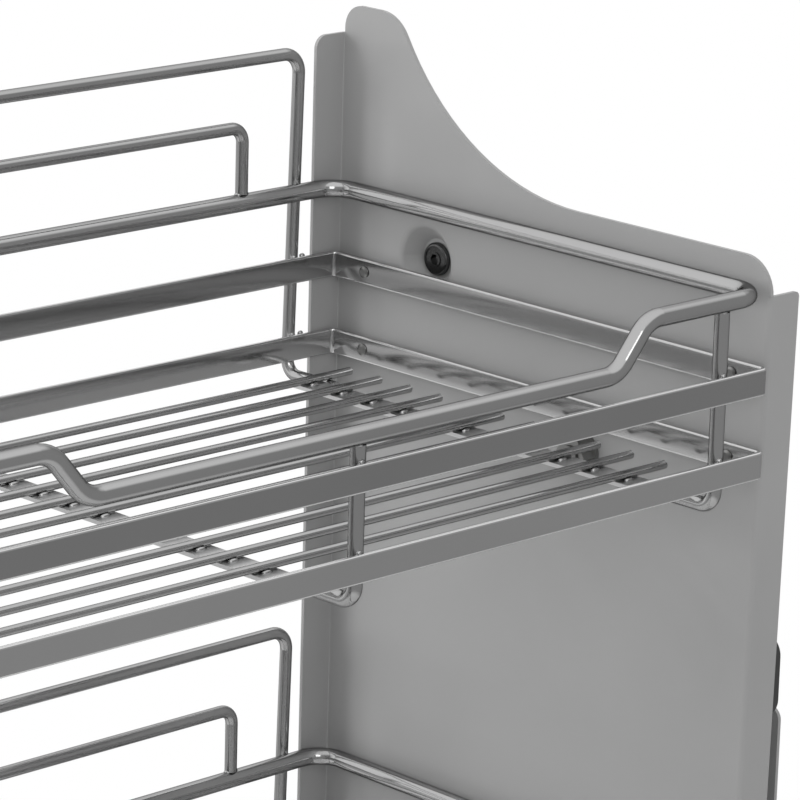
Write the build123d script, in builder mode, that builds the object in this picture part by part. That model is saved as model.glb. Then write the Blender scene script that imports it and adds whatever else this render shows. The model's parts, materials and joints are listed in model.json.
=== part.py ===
from build123d import *
import math
import os

# Pull-down shelf organizer for a wall cabinet: two wire baskets between two steel
# side panels, carried by four parallel swing arms in housings on the cabinet walls.
# Millimetres. X runs left to right, -Y points out of the cabinet, +Z is up.
# The origin is on the cabinet floor, at the middle of the unit's footprint.

# Basket rings
basket_width = 754.0
basket_depth = 228.0
basket_front = -98.5
band_height = 10.35
band_thickness = 2.0
band_corner = 5.0
mid_band_rise = 31.7
rail_diameter = 7.0
rail_rise = 69.1
rail_corner = 11.0
dip_depth = 17.8
dip_half_width = 128.9
dip_run = 15.0
dip_bend = 12.0
bay_centre = 179.5
weld_gap = 0.15

# Basket posts, floor and guards
post_diameter = 5.6
bay_post = 177.6
end_post_inset = 20.0
rear_post_diameter = 5.0
wire_diameter = 3.2
wire_count = 12
wire_pitch = 17.0
first_wire_inset = 20.0
wire_end_inset = 8.0
strip_width = 12.0
strip_thickness = 1.5
strip_post_offset = 9.5
strip_end_inset = 14.0
front_hook_reach = 30.0
hook_reach = 24.0
hook_bend = 6.0
guard_diameter = 5.0
outer_guard_inset = 16.95
outer_guard_foot_inset = 19.95
outer_guard_rise = 123.7
outer_guard_corner = 8.0
inner_guard_inset = 51.8
inner_guard_rise = 99.1
inner_guard_corner = 6.0

# Height of each basket's bottom band above the cabinet floor
upper_basket_height = 369.6
lower_basket_height = 131.6

# Side panels
panel_gap = 2.9
sheet = 1.5
seat_gap = 0.15
panel_foot_margin = 8.0
panel_front_rise = 80.8
panel_rear_rise = 141.4
panel_bend = 0.5
rear_flange_width = 14.8
rear_flange_rise = 129.7
rear_flange_corner = 5.2
front_flange_width = 14.2
front_flange_corner = 2.0
front_flange_lean = 0.82
flange_root = 5.0
flange_setback = 4.0
flange_seat_gap = 0.3
cove_radius = 111.9
cove_start = 98.8
peak_radius = 17.3
crest_foot = 1.8
crest_corner = 9.3
nose_radius = 13.7
recess_diameter = 28.2
recess_depth = 7.2
recess_taper = 40.0
recess_root_bend = 1.5
recess_floor_bend = 1.0

# Rivets that hold the baskets in the panels
front_rivet_inset = 15.0
rear_rivet_inset = 17.7
rivet_shank = 3.2
rivet_dome = 4.6
rivet_dome_height = 1.0
rivet_head = 7.0
rivet_head_height = 1.2
spacer_diameter = 8.0
hole_clearance = 0.1

# Swing arms and their pivots
arm_lean = 11.0
arm_width = 26.0
arm_thickness = 5.0
arm_edge = 0.8
pivot_clearance = 0.05
rear_pivot_y = 82.5
rear_pivot_rise = 46.2
front_pivot_y = -6.5
front_pivot_rise = -11.6
rear_base_height = 82.0
carrier_bolt = 8.0
base_pin = 10.0
bush_diameter = 14.0
button_head = 13.2
button_head_height = 2.2
button_edge = 1.2
button_well = 10.4
button_well_depth = 0.4
button_ring = 5.8
button_socket = 4.0
button_socket_depth = 1.6
nut_flats = 13.0
nut_height = 6.0
bolt_tip = 1.0
flange_nut_disc = 16.0
flange_nut_disc_height = 1.6
washer_diameter = 18.0
washer_thickness = 1.5
pin_head = 16.0
pin_head_height = 2.5
sleeve_diameter = 16.0
drum_diameter = 64.0
drum_edge = 2.5

# Base housings
housing_rear = 138.5
housing_height = 265.6
housing_top_depth = 217.0
housing_foot_depth = 233.0
housing_step_low = 110.0
housing_step_high = 190.0
housing_corner = 5.0
housing_clearance = 15.2
housing_width = 22.5
lip_width = 8.0
rest_flange_width = 9.0
rest_flange_length = 50.0
wall_screw_hole = 5.2
wall_screw_inset = 29.0
wall_screw_spacing_y = 150.0
wall_screw_low = 30.0
wall_screw_spacing_z = 220.0
access_hole = 12.0
cover_screw = 4.0
cover_screw_head = 7.0
cover_screw_head_height = 2.0
cover_screw_length = 6.0
cover_screw_inset = 16.0

# Stop buffers
buffer_height = 33.0
buffer_length = 24.0
buffer_width = 25.5
buffer_inset = 7.1
buffer_corner = 8.0

# Pull handle
handle_diameter = 12.0
handle_wall = 1.2
handle_reach = 37.25
handle_height = 140.0
handle_overhang = 3.0
cap_height = 2.0
cap_plug = 6.0
grip_diameter = 18.0
grip_length = 180.0
ear_radius = 9.0
bracket_sheet = 2.0
bracket_offset = 0.5
bracket_height = 40.0
bracket_width = 12.0
handle_screw = 4.0
handle_screw_head = 7.5
handle_screw_head_height = 2.4
handle_screw_inset = 5.0
handle_screw_spacing = 26.0
handle_nut_flats = 7.0
handle_nut_height = 3.0


# Planes and levels that follow from the sizes above
half_width = basket_width / 2
basket_rear = basket_front + basket_depth
basket_middle = (basket_front + basket_rear) / 2
ring_half = half_width + band_thickness
ring_front = basket_front - band_thickness
ring_rear = basket_rear + band_thickness
rail_half = ring_half - rail_diameter / 2
rail_front = ring_front + rail_diameter / 2
rail_rear = ring_rear - rail_diameter / 2
end_post = half_width - end_post_inset
post_y = basket_front + post_diameter / 2 + weld_gap
wire_drop = weld_gap + wire_diameter / 2
strip_drop = 2 * weld_gap + wire_diameter
hook_drop = strip_drop + guard_diameter / 2
rear_hook_drop = strip_drop + rear_post_diameter / 2
front_hook_drop = strip_drop + strip_thickness + weld_gap + post_diameter / 2
guard_y = ring_rear + weld_gap + guard_diameter / 2

panel_inner = ring_half + panel_gap
panel_outer = panel_inner + sheet
panel_rear = ring_rear + flange_seat_gap + sheet
panel_front = ring_front + flange_setback
panel_bottom = handle_height - bracket_height / 2 - panel_foot_margin
panel_flat = upper_basket_height + panel_front_rise
panel_crest = upper_basket_height + panel_rear_rise
flange_top = panel_flat - nose_radius
rear_lip = panel_inner - rear_flange_width
front_lip = panel_outer + front_flange_width

cover_inner = panel_outer + housing_clearance
cover_outer = cover_inner + sheet
tray_inner = cover_outer + seat_gap
wall_face = cover_inner + housing_width
wall_inner = wall_face - sheet
arm_inner = cover_outer + washer_thickness + 2 * seat_gap
arm_outer = arm_inner + arm_thickness

tilt = math.radians(front_flange_lean)
lean = math.radians(arm_lean)
arm_length = (upper_basket_height + rear_pivot_rise - rear_base_height) / math.cos(lean)
arm_shift = (-arm_length * math.sin(lean), -arm_length * math.cos(lean))
rear_top = (rear_pivot_y, upper_basket_height + rear_pivot_rise)
front_top = (front_pivot_y, upper_basket_height + front_pivot_rise)
rear_base = (rear_top[0] + arm_shift[0], rear_top[1] + arm_shift[1])
front_base = (front_top[0] + arm_shift[0], front_top[1] + arm_shift[1])

bracket_inner = panel_inner + bracket_offset
bracket_outer = bracket_inner + bracket_sheet
flange_y = panel_front + (flange_top - handle_height) * math.tan(tilt)
handle_y = flange_y - handle_reach
tube_half = bracket_outer + handle_overhang
screw_x = bracket_outer + handle_screw_inset


def save(shape, name):
    """Label one finished piece and write its STEP file."""
    shape.label = name
    export_step(shape, f"parts/{name}.step")


def mirrored(shape):
    """Return the left-hand copy of a right-hand piece."""
    with BuildPart() as left:
        mirror(shape, about=Plane.YZ)
    return left.part


def bent_wire(points, bends, diameter):
    """Return round wire along straight runs joined by bends."""
    with BuildPart() as wire:
        with BuildLine() as path:
            FilletPolyline(*points, radius=bends)
        with BuildSketch(Plane(origin=path.line @ 0, z_dir=path.line % 0)):
            Circle(diameter / 2)
        sweep(path=path.line)
    return wire.part


def rivet_places(level):
    """Return the two rivet centres of one band, as Y and Z."""
    height = level + band_height / 2
    return [(basket_front + front_rivet_inset, height), (basket_rear - rear_rivet_inset, height)]


def all_rivet_places():
    """Return every rivet centre of one side, as Y and Z."""
    places = []
    for level in (lower_basket_height, upper_basket_height):
        places += rivet_places(level)
        places += rivet_places(level + mid_band_rise)
    return places


# Basket rings


def flat_band(level):
    """Return a closed flat-bar ring with its lower edge at a level."""
    with BuildPart() as band:
        with BuildSketch(Plane.XY.offset(level)):
            with Locations((0, basket_middle)):
                RectangleRounded(2 * ring_half, ring_rear - ring_front, band_corner)
                RectangleRounded(
                    basket_width, basket_depth, band_corner - band_thickness, mode=Mode.SUBTRACT
                )
        extrude(amount=band_height)
        with BuildSketch(Plane.YZ):
            with Locations(*rivet_places(level)):
                Circle(rivet_shank / 2 + hole_clearance)
        extrude(amount=ring_half + 1, both=True, mode=Mode.SUBTRACT)
    return band.part


def top_rail(level):
    """Return the round top ring, which dips in front of each half."""
    high = level + rail_rise
    low = high - dip_depth
    outer = bay_centre + dip_half_width
    inner = bay_centre - dip_half_width
    bends = [rail_corner, rail_corner] + [dip_bend] * 4
    halves = []
    for side in (1, -1):
        points = [
            (0, rail_rear, high),
            (side * rail_half, rail_rear, high),
            (side * rail_half, rail_front, high),
            (side * (outer + dip_run / 2), rail_front, high),
            (side * (outer - dip_run / 2), rail_front, low),
            (side * (inner + dip_run / 2), rail_front, low),
            (side * (inner - dip_run / 2), rail_front, high),
            (0, rail_front, high),
        ]
        halves.append(bent_wire(points, bends, rail_diameter))
    with BuildPart() as rail:
        add(halves)
    return rail.part


# Basket posts and floor


def front_posts(level):
    """Return the wires that hang from the rail in front and hook under the strips."""
    foot = level - front_hook_drop
    back = basket_front + front_hook_reach
    legs = []
    for x in (-end_post, -bay_post, 0, bay_post, end_post):
        dip = dip_depth if abs(x) == bay_post else 0
        top = level + rail_rise - dip - rail_diameter / 2 - weld_gap
        points = [(x, post_y, top), (x, post_y, foot), (x, back, foot)]
        legs.append(bent_wire(points, [hook_bend], post_diameter))
    with BuildPart() as posts:
        add(legs)
    return posts.part


def rear_posts(level):
    """Return the rear wires that hang from the rail and hook under the floor."""
    leg_y = basket_rear - weld_gap - rear_post_diameter / 2
    top = level + rail_rise - rail_diameter / 2 - weld_gap
    foot = level - rear_hook_drop
    legs = []
    for x in (-bay_centre, bay_centre):
        points = [(x, leg_y, top), (x, leg_y, foot), (x, basket_rear - hook_reach, foot)]
        legs.append(bent_wire(points, [hook_bend], rear_post_diameter))
    with BuildPart() as posts:
        add(legs)
    return posts.part


def floor_wires(level):
    """Return the floor's wires, which run from side to side."""
    length = basket_width - 2 * wire_end_inset
    with BuildPart() as wires:
        for i in range(wire_count):
            wire_y = basket_rear - first_wire_inset - i * wire_pitch
            with Locations((0, wire_y, level - wire_drop)):
                Cylinder(wire_diameter / 2, length, rotation=(0, 90, 0))
        chamfer(wires.edges().filter_by(GeomType.CIRCLE), wire_diameter * 0.2)
    return wires.part


def cross_strips(level):
    """Return the flat strips under the wires, each beside one of the front posts."""
    places = [(0, 0), (end_post, 1), (bay_post, 1), (-end_post, -1), (-bay_post, -1)]
    length = basket_depth - 2 * strip_end_inset
    with BuildPart() as strips:
        with BuildSketch(Plane.XY.offset(level - strip_drop - strip_thickness)):
            with Locations(*[(post - side * strip_post_offset, basket_middle) for post, side in places]):
                RectangleRounded(strip_width, length, strip_width / 6)
        extrude(amount=strip_thickness)
    return strips.part


# Guards behind the basket


def outer_guard(level):
    """Return the tall guard, whose legs pass behind the bars and hook under the floor."""
    x = half_width - outer_guard_inset
    foot_x = half_width - outer_guard_foot_inset
    foot = level - hook_drop
    top = level + outer_guard_rise
    points = [
        (foot_x, basket_rear - hook_reach, foot),
        (foot_x, guard_y, foot),
        (x, guard_y, top),
        (-x, guard_y, top),
        (-foot_x, guard_y, foot),
        (-foot_x, basket_rear - hook_reach, foot),
    ]
    bends = [hook_bend, outer_guard_corner, outer_guard_corner, hook_bend]
    return bent_wire(points, bends, guard_diameter)


def inner_guard(level):
    """Return the low guard that stands on the rear of the top rail."""
    x = half_width - inner_guard_inset
    foot = level + rail_rise + rail_diameter / 2 + weld_gap
    top = level + inner_guard_rise
    points = [(x, rail_rear, foot), (x, rail_rear, top), (-x, rail_rear, top), (-x, rail_rear, foot)]
    return bent_wire(points, [inner_guard_corner, inner_guard_corner], guard_diameter)


# Rivets and spacers between baskets and panels


def basket_rivets():
    """Return the rivets that hold the baskets to both panels, peened inside the baskets."""
    dome_x = half_width - seat_gap
    head_x = panel_outer + seat_gap
    with BuildPart() as rivets:
        with BuildSketch(Plane.YZ.offset(dome_x)):
            with Locations(*all_rivet_places()):
                Circle(rivet_dome / 2)
        extrude(amount=-rivet_dome_height)
        chamfer(rivets.edges().group_by(Axis.X)[0], rivet_dome_height / 2, rivet_dome_height * 0.8)
        with BuildSketch(Plane.YZ.offset(dome_x)):
            with Locations(*all_rivet_places()):
                Circle(rivet_shank / 2)
        extrude(amount=head_x - dome_x)
        with BuildSketch(Plane.YZ.offset(head_x)):
            with Locations(*all_rivet_places()):
                Circle(rivet_head / 2)
        extrude(amount=rivet_head_height)
        mirror(about=Plane.YZ)
    return rivets.part


def basket_spacers():
    """Return the rings that keep the baskets off the panels."""
    with BuildPart() as spacers:
        with BuildSketch(Plane.YZ.offset(ring_half + seat_gap)):
            with Locations(*all_rivet_places()):
                Circle(spacer_diameter / 2)
                Circle(rivet_shank / 2 + hole_clearance, mode=Mode.SUBTRACT)
        extrude(amount=panel_gap - 2 * seat_gap)
        mirror(about=Plane.YZ)
    return spacers.part


# Side panels


def front_at(height):
    """Return the Y of the front flange, which leans back towards its foot."""
    return panel_front + (flange_top - height) * math.tan(tilt)


def flange_face():
    """Return the plane of the front flange at the handle's height."""
    facing = (0, -math.cos(tilt), -math.sin(tilt))
    return Plane(origin=(0, flange_y, handle_height), x_dir=(1, 0, 0), z_dir=facing)


def web_section():
    """Return the web and the rear flange, seen from above."""
    corners = [
        (rear_lip, panel_rear - sheet),
        (panel_inner, panel_rear - sheet),
        (panel_inner, panel_front),
        (panel_outer, panel_front),
        (panel_outer, panel_rear),
        (rear_lip, panel_rear),
    ]
    with BuildSketch() as section:
        with BuildLine():
            Polyline(*corners, close=True)
        make_face()
        fillet(section.vertices().sort_by_distance(corners[1])[0], panel_bend)
        fillet(section.vertices().sort_by_distance(corners[4])[0], panel_bend + sheet)
    return section.sketch


def flange_section():
    """Return the front flange and its bend, seen from above at the panel's foot."""
    front = front_at(panel_bottom)
    corners = [
        (panel_inner, front),
        (front_lip, front),
        (front_lip, front + sheet),
        (panel_outer, front + sheet),
        (panel_outer, front + 2 * flange_root),
        (panel_inner, front + 2 * flange_root),
    ]
    with BuildSketch(Plane.XY.offset(panel_bottom)) as section:
        with BuildLine():
            Polyline(*corners, close=True)
        make_face()
        fillet(section.vertices().sort_by_distance(corners[0])[0], panel_bend + sheet)
        fillet(section.vertices().sort_by_distance(corners[3])[0], panel_bend)
    return section.sketch


def panel_outline():
    """Return the web's outline, seen from the side, up to the root of the front flange."""
    cove = (panel_front + cove_start, panel_flat + cove_radius)
    fall = cove[1] - panel_crest + peak_radius
    span = math.sqrt((cove_radius + peak_radius) ** 2 - fall**2)
    sweep_angle = math.degrees(math.atan2(span, fall))
    nose_y = panel_front + nose_radius
    back = panel_rear - crest_foot
    with BuildSketch(Plane.YZ) as outline:
        with BuildLine():
            CenterArc((nose_y, flange_top), nose_radius, 180, -90)
            Line((nose_y, panel_flat), (cove[0], panel_flat))
            CenterArc(cove, cove_radius, 270, sweep_angle)
            CenterArc(
                (cove[0] + span, panel_crest - peak_radius), peak_radius, 90 + sweep_angle, -sweep_angle
            )
            Line((cove[0] + span, panel_crest), (back - crest_corner, panel_crest))
            CenterArc((back - crest_corner, panel_crest - crest_corner), crest_corner, 90, -90)
            Polyline(
                (back, panel_crest - crest_corner),
                (back, upper_basket_height + rear_flange_rise),
                (panel_rear, upper_basket_height + rear_flange_rise),
                (panel_rear, panel_bottom),
                (front_at(panel_bottom) + flange_root, panel_bottom),
                (panel_front + flange_root, flange_top),
                (panel_front, flange_top),
            )
        make_face()
    return outline.sketch


def side_panel():
    """Return the right panel: pressed sheet with a flange at each upright edge."""
    wall = math.radians(recess_taper)
    slope = (0, -math.sin(tilt), math.cos(tilt))
    with BuildPart() as panel:
        extrude(web_section(), amount=panel_crest + 1)
        extrude(panel_outline(), amount=front_lip + 1, dir=(1, 0, 0), mode=Mode.INTERSECT)
        extrude(flange_section(), amount=(flange_top - panel_bottom) / math.cos(tilt), dir=slope)
        lip_ends = panel.edges().filter_by(Axis.Y).group_by(Axis.X)[0]
        fillet(lip_ends, rear_flange_corner)
        tip_ends = panel.edges().filter_by(Axis.Y).group_by(Axis.X)[-1]
        fillet(tip_ends, front_flange_corner)
        with BuildSketch(Plane.YZ.offset(panel_outer)):
            with Locations(rear_top):
                Circle(recess_diameter / 2 + sheet / math.cos(wall) - sheet * math.tan(wall))
        extrude(amount=recess_depth, taper=recess_taper)
        with BuildSketch(Plane.YZ.offset(panel_inner)):
            with Locations(rear_top):
                Circle(recess_diameter / 2)
        extrude(amount=recess_depth, taper=recess_taper, mode=Mode.SUBTRACT)
        bends = (recess_floor_bend + sheet, recess_floor_bend, recess_root_bend, recess_root_bend + sheet)
        for place, bend in zip((3, 2, 1, 0), bends):
            rings = panel.edges().filter_by(GeomType.CIRCLE).filter_by(
                lambda edge: abs(edge.arc_center.Y - rear_top[0]) < 0.01
            )
            fillet(rings.sort_by(Axis.X)[place], bend)
        with BuildSketch(Plane.YZ.offset(panel_inner - 1)):
            with Locations(rear_top, front_top):
                Circle(carrier_bolt / 2 + hole_clearance)
            with Locations(*all_rivet_places()):
                Circle(rivet_shank / 2 + hole_clearance)
        extrude(amount=sheet + recess_depth + 2, mode=Mode.SUBTRACT)
        with BuildSketch(flange_face().offset(1)):
            with Locations(*handle_screw_places()):
                Circle(handle_screw / 2 + hole_clearance)
        extrude(amount=-sheet - 2, mode=Mode.SUBTRACT)
    return panel.part


# Pivots between the arms and the panels


def hexagon(flats):
    """Return the corner radius of a hexagon from its width across flats."""
    return flats / math.sqrt(3)


def rear_pivot_bolts():
    """Return the socket bolts, whose low heads sit on the floors of the panels' recesses."""
    seat = panel_inner + recess_depth - seat_gap
    end = arm_outer + washer_thickness + nut_height + 3 * seat_gap + bolt_tip
    with BuildPart() as bolts:
        with BuildSketch(Plane.YZ.offset(seat)):
            with Locations(rear_top):
                Circle(button_head / 2)
        extrude(amount=-button_head_height)
        fillet(bolts.edges().group_by(Axis.X)[0], button_edge)
        with BuildSketch(Plane.YZ.offset(seat - button_head_height)):
            with Locations(rear_top):
                Circle(button_well / 2)
                Circle(button_ring / 2, mode=Mode.SUBTRACT)
        extrude(amount=button_well_depth, mode=Mode.SUBTRACT)
        with BuildSketch(Plane.YZ.offset(seat - button_head_height)):
            with Locations(rear_top):
                RegularPolygon(hexagon(button_socket), 6)
        extrude(amount=button_socket_depth, mode=Mode.SUBTRACT)
        with BuildSketch(Plane.YZ.offset(seat)):
            with Locations(rear_top):
                Circle(carrier_bolt / 2)
        extrude(amount=end - seat)
        mirror(about=Plane.YZ)
    return bolts.part


def front_pivot_bolts():
    """Return the hexagon bolts, whose heads are outside the arms."""
    head_x = arm_outer + washer_thickness + 2 * seat_gap
    end = panel_inner - flange_nut_disc_height - nut_height - seat_gap - bolt_tip
    with BuildPart() as bolts:
        with BuildSketch(Plane.YZ.offset(head_x)):
            with Locations(front_top):
                RegularPolygon(hexagon(nut_flats), 6)
        extrude(amount=nut_height)
        with BuildSketch(Plane.YZ.offset(end)):
            with Locations(front_top):
                Circle(carrier_bolt / 2)
        extrude(amount=head_x - end)
        mirror(about=Plane.YZ)
    return bolts.part


def rear_pivot_nuts():
    """Return the hexagon nuts outside the rear arms."""
    with BuildPart() as nuts:
        with BuildSketch(Plane.YZ.offset(arm_outer + washer_thickness + 2 * seat_gap)):
            with Locations(rear_top):
                RegularPolygon(hexagon(nut_flats), 6)
                Circle(carrier_bolt / 2 + hole_clearance, mode=Mode.SUBTRACT)
        extrude(amount=nut_height)
        mirror(about=Plane.YZ)
    return nuts.part


def front_pivot_nuts():
    """Return the flange nuts on the inner faces of the panels."""
    seat = panel_inner - seat_gap
    with BuildPart() as nuts:
        with BuildSketch(Plane.YZ.offset(seat)):
            with Locations(front_top):
                Circle(flange_nut_disc / 2)
        extrude(amount=-flange_nut_disc_height)
        with BuildSketch(Plane.YZ.offset(seat - flange_nut_disc_height)):
            with Locations(front_top):
                RegularPolygon(hexagon(nut_flats), 6)
        extrude(amount=-nut_height)
        with BuildSketch(Plane.YZ.offset(seat)):
            with Locations(front_top):
                Circle(carrier_bolt / 2 + hole_clearance)
        extrude(amount=-flange_nut_disc_height - nut_height, mode=Mode.SUBTRACT)
        mirror(about=Plane.YZ)
    return nuts.part


def pivot_washers():
    """Return the washers outside the arms' upper ends."""
    with BuildPart() as washers:
        with BuildSketch(Plane.YZ.offset(arm_outer + seat_gap)):
            with Locations(rear_top, front_top):
                Circle(washer_diameter / 2)
                Circle(carrier_bolt / 2 + hole_clearance, mode=Mode.SUBTRACT)
        extrude(amount=washer_thickness)
        mirror(about=Plane.YZ)
    return washers.part


def pivot_bushes():
    """Return the bushes that carry the panels clear of the housings."""
    with BuildPart() as bushes:
        for place, seat in ((rear_top, panel_outer + recess_depth), (front_top, panel_outer)):
            with BuildSketch(Plane.YZ.offset(seat + seat_gap)):
                with Locations(place):
                    Circle(bush_diameter / 2)
                    Circle(carrier_bolt / 2 + hole_clearance, mode=Mode.SUBTRACT)
            extrude(amount=arm_inner - seat - 2 * seat_gap)
        mirror(about=Plane.YZ)
    return bushes.part


def stop_buffers():
    """Return the blocks on the panels that rest on the housings when stored."""
    front = front_at(housing_height) + buffer_inset
    low = housing_height + 2 * seat_gap
    with BuildPart() as buffers:
        with BuildSketch(Plane.YZ.offset(panel_outer + seat_gap)):
            with Locations((front + buffer_length / 2, low + buffer_height / 2)):
                RectangleRounded(buffer_length, buffer_height, buffer_corner)
        extrude(amount=buffer_width)
        mirror(about=Plane.YZ)
    return buffers.part


# Swing arms


def swing_arm(top, base):
    """Return a flat steel arm between its two pivots, on the right side."""
    middle = ((top[0] + base[0]) / 2, (top[1] + base[1]) / 2)
    with BuildPart() as arm:
        with BuildSketch(Plane.YZ.offset(arm_inner)):
            with Locations(middle):
                SlotCenterToCenter(arm_length, arm_width, rotation=90 - arm_lean)
        extrude(amount=arm_thickness)
        chamfer(arm.edges().group_by(Axis.X)[0], arm_edge)
        chamfer(arm.edges().group_by(Axis.X)[-1], arm_edge)
        with BuildSketch(Plane.YZ.offset(arm_inner)):
            with Locations(top):
                Circle(carrier_bolt / 2 + pivot_clearance)
            with Locations(base):
                Circle(base_pin / 2 + pivot_clearance)
        extrude(amount=arm_thickness, mode=Mode.SUBTRACT)
    return arm.part


# Fixed base


def housing_outline(x):
    """Return the housing's side outline on a plane across X."""
    front_top_y = housing_rear - housing_top_depth
    front_foot_y = housing_rear - housing_foot_depth
    with BuildSketch(Plane.YZ.offset(x)) as outline:
        with BuildLine():
            Polyline(
                (housing_rear, 0),
                (housing_rear, housing_height),
                (front_top_y, housing_height),
                (front_top_y, housing_step_high),
                (front_foot_y, housing_step_low),
                (front_foot_y, 0),
                close=True,
            )
        make_face()
        fillet(outline.vertices().sort_by_distance((front_top_y, housing_height))[0], housing_corner)
        fillet(outline.vertices().sort_by_distance((front_foot_y, 0))[0], housing_corner)
    return outline.sketch


def wall_screw_places():
    """Return the four wall screw centres of one housing, as Y and Z."""
    rear = housing_rear - wall_screw_inset
    low = wall_screw_low
    high = wall_screw_low + wall_screw_spacing_z
    front = rear - wall_screw_spacing_y
    return [(rear, low), (rear, high), (front, low), (front, high)]


def cover_screw_places():
    """Return the cover screw centres of one housing, as Y and Z."""
    side_y = housing_rear - lip_width / 2
    foot_y = housing_rear - housing_foot_depth + cover_screw_inset
    return [
        (side_y, housing_height - cover_screw_inset),
        (side_y, housing_height / 2),
        (side_y, cover_screw_inset),
        (foot_y, lip_width / 2),
    ]


def wall_housing():
    """Return the right housing: a wall plate folded round the rear and the foot."""
    with BuildPart() as housing:
        extrude(housing_outline(tray_inner), amount=wall_face - tray_inner, dir=(1, 0, 0))
        cut_y = housing_rear - sheet - housing_foot_depth
        cut_z = sheet + housing_height
        with BuildSketch(Plane.YZ.offset(wall_inner)):
            with Locations((cut_y, cut_z)):
                Rectangle(2 * housing_foot_depth, 2 * housing_height)
        extrude(amount=tray_inner + sheet - wall_inner, mode=Mode.SUBTRACT)
        with BuildSketch(Plane.YZ.offset(tray_inner)):
            with Locations((cut_y + sheet - lip_width, cut_z - sheet + lip_width)):
                Rectangle(2 * housing_foot_depth, 2 * housing_height)
        extrude(amount=sheet, mode=Mode.SUBTRACT)
        with BuildSketch(Plane.YZ.offset(wall_inner)):
            with Locations(*wall_screw_places()):
                Circle(wall_screw_hole / 2)
            with Locations(rear_base, front_base):
                Circle(base_pin / 2 + hole_clearance)
        extrude(amount=sheet, mode=Mode.SUBTRACT)
        with BuildSketch(Plane.YZ.offset(tray_inner)):
            with Locations(*cover_screw_places()):
                Circle(cover_screw / 2 + hole_clearance)
        extrude(amount=sheet, mode=Mode.SUBTRACT)
    return housing.part


def housing_cover():
    """Return the right cover, with a folded ledge where the buffer rests."""
    ledge_y = housing_rear - housing_top_depth + housing_corner + rest_flange_length / 2
    with BuildPart() as cover:
        extrude(housing_outline(cover_inner), amount=sheet, dir=(1, 0, 0))
        with BuildSketch(Plane.XY.offset(housing_height - sheet)) as ledge:
            with Locations((cover_inner - rest_flange_width / 2, ledge_y)):
                Rectangle(rest_flange_width, rest_flange_length)
            fillet(ledge.vertices().group_by(Axis.X)[0], sheet)
        extrude(amount=sheet)
        with BuildSketch(Plane.YZ.offset(cover_inner)):
            with Locations(*wall_screw_places()):
                Circle(access_hole / 2)
            with Locations(rear_base, front_base):
                Circle(base_pin / 2 + hole_clearance)
            with Locations(*cover_screw_places()):
                Circle(cover_screw / 2 + hole_clearance)
        extrude(amount=sheet, mode=Mode.SUBTRACT)
    return cover.part


def cover_screws():
    """Return the small screws that hold both covers."""
    with BuildPart() as screws:
        with BuildSketch(Plane.YZ.offset(cover_inner - seat_gap)):
            with Locations(*cover_screw_places()):
                Circle(cover_screw_head / 2)
        extrude(amount=-cover_screw_head_height)
        chamfer(screws.edges().group_by(Axis.X)[0], cover_screw_head_height / 3)
        with BuildSketch(Plane.YZ.offset(cover_inner - seat_gap)):
            with Locations(*cover_screw_places()):
                Circle(cover_screw / 2)
        extrude(amount=cover_screw_length)
        mirror(about=Plane.YZ)
    return screws.part


def base_pins():
    """Return the headed pins that the arms turn on."""
    head_x = cover_inner - seat_gap
    with BuildPart() as pins:
        with BuildSketch(Plane.YZ.offset(head_x)):
            with Locations(rear_base, front_base):
                Circle(pin_head / 2)
        extrude(amount=-pin_head_height)
        chamfer(pins.edges().group_by(Axis.X)[0], pin_head_height / 3)
        with BuildSketch(Plane.YZ.offset(head_x)):
            with Locations(rear_base, front_base):
                Circle(base_pin / 2)
        extrude(amount=wall_face - seat_gap - head_x)
        mirror(about=Plane.YZ)
    return pins.part


def base_washers():
    """Return the bearing washers between the covers and the arms."""
    with BuildPart() as washers:
        with BuildSketch(Plane.YZ.offset(cover_outer + seat_gap)):
            with Locations(rear_base, front_base):
                Circle(washer_diameter / 2)
                Circle(base_pin / 2 + hole_clearance, mode=Mode.SUBTRACT)
        extrude(amount=washer_thickness)
        mirror(about=Plane.YZ)
    return washers.part


def base_sleeves():
    """Return the sleeves between the front arms and the wall plates."""
    with BuildPart() as sleeves:
        with BuildSketch(Plane.YZ.offset(arm_outer + seat_gap)):
            with Locations(front_base):
                Circle(sleeve_diameter / 2)
                Circle(base_pin / 2 + hole_clearance, mode=Mode.SUBTRACT)
        extrude(amount=wall_inner - arm_outer - 2 * seat_gap)
        mirror(about=Plane.YZ)
    return sleeves.part


def spring_drums():
    """Return the closed drums of the lift springs, round the rear base pins."""
    with BuildPart() as drums:
        with BuildSketch(Plane.YZ.offset(arm_outer + 2 * seat_gap)):
            with Locations(rear_base):
                Circle(drum_diameter / 2)
        extrude(amount=wall_inner - arm_outer - 3 * seat_gap)
        chamfer(drums.edges().group_by(Axis.X)[0], drum_edge)
        with BuildSketch(Plane.YZ.offset(arm_outer)):
            with Locations(rear_base):
                Circle(base_pin / 2 + hole_clearance)
        extrude(amount=wall_inner - arm_outer, mode=Mode.SUBTRACT)
        mirror(about=Plane.YZ)
    return drums.part


# Pull handle


def handle_screw_places():
    """Return the two screw centres of the right bracket, on the flange's face."""
    half = handle_screw_spacing / 2
    return [(screw_x, -half), (screw_x, half)]


def handle_tube():
    """Return the tube that runs through both brackets."""
    with BuildPart() as tube:
        with BuildSketch(Plane.YZ.offset(-tube_half)):
            with Locations((handle_y, handle_height)):
                Circle(handle_diameter / 2)
                Circle(handle_diameter / 2 - handle_wall, mode=Mode.SUBTRACT)
        extrude(amount=2 * tube_half)
    return tube.part


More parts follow.
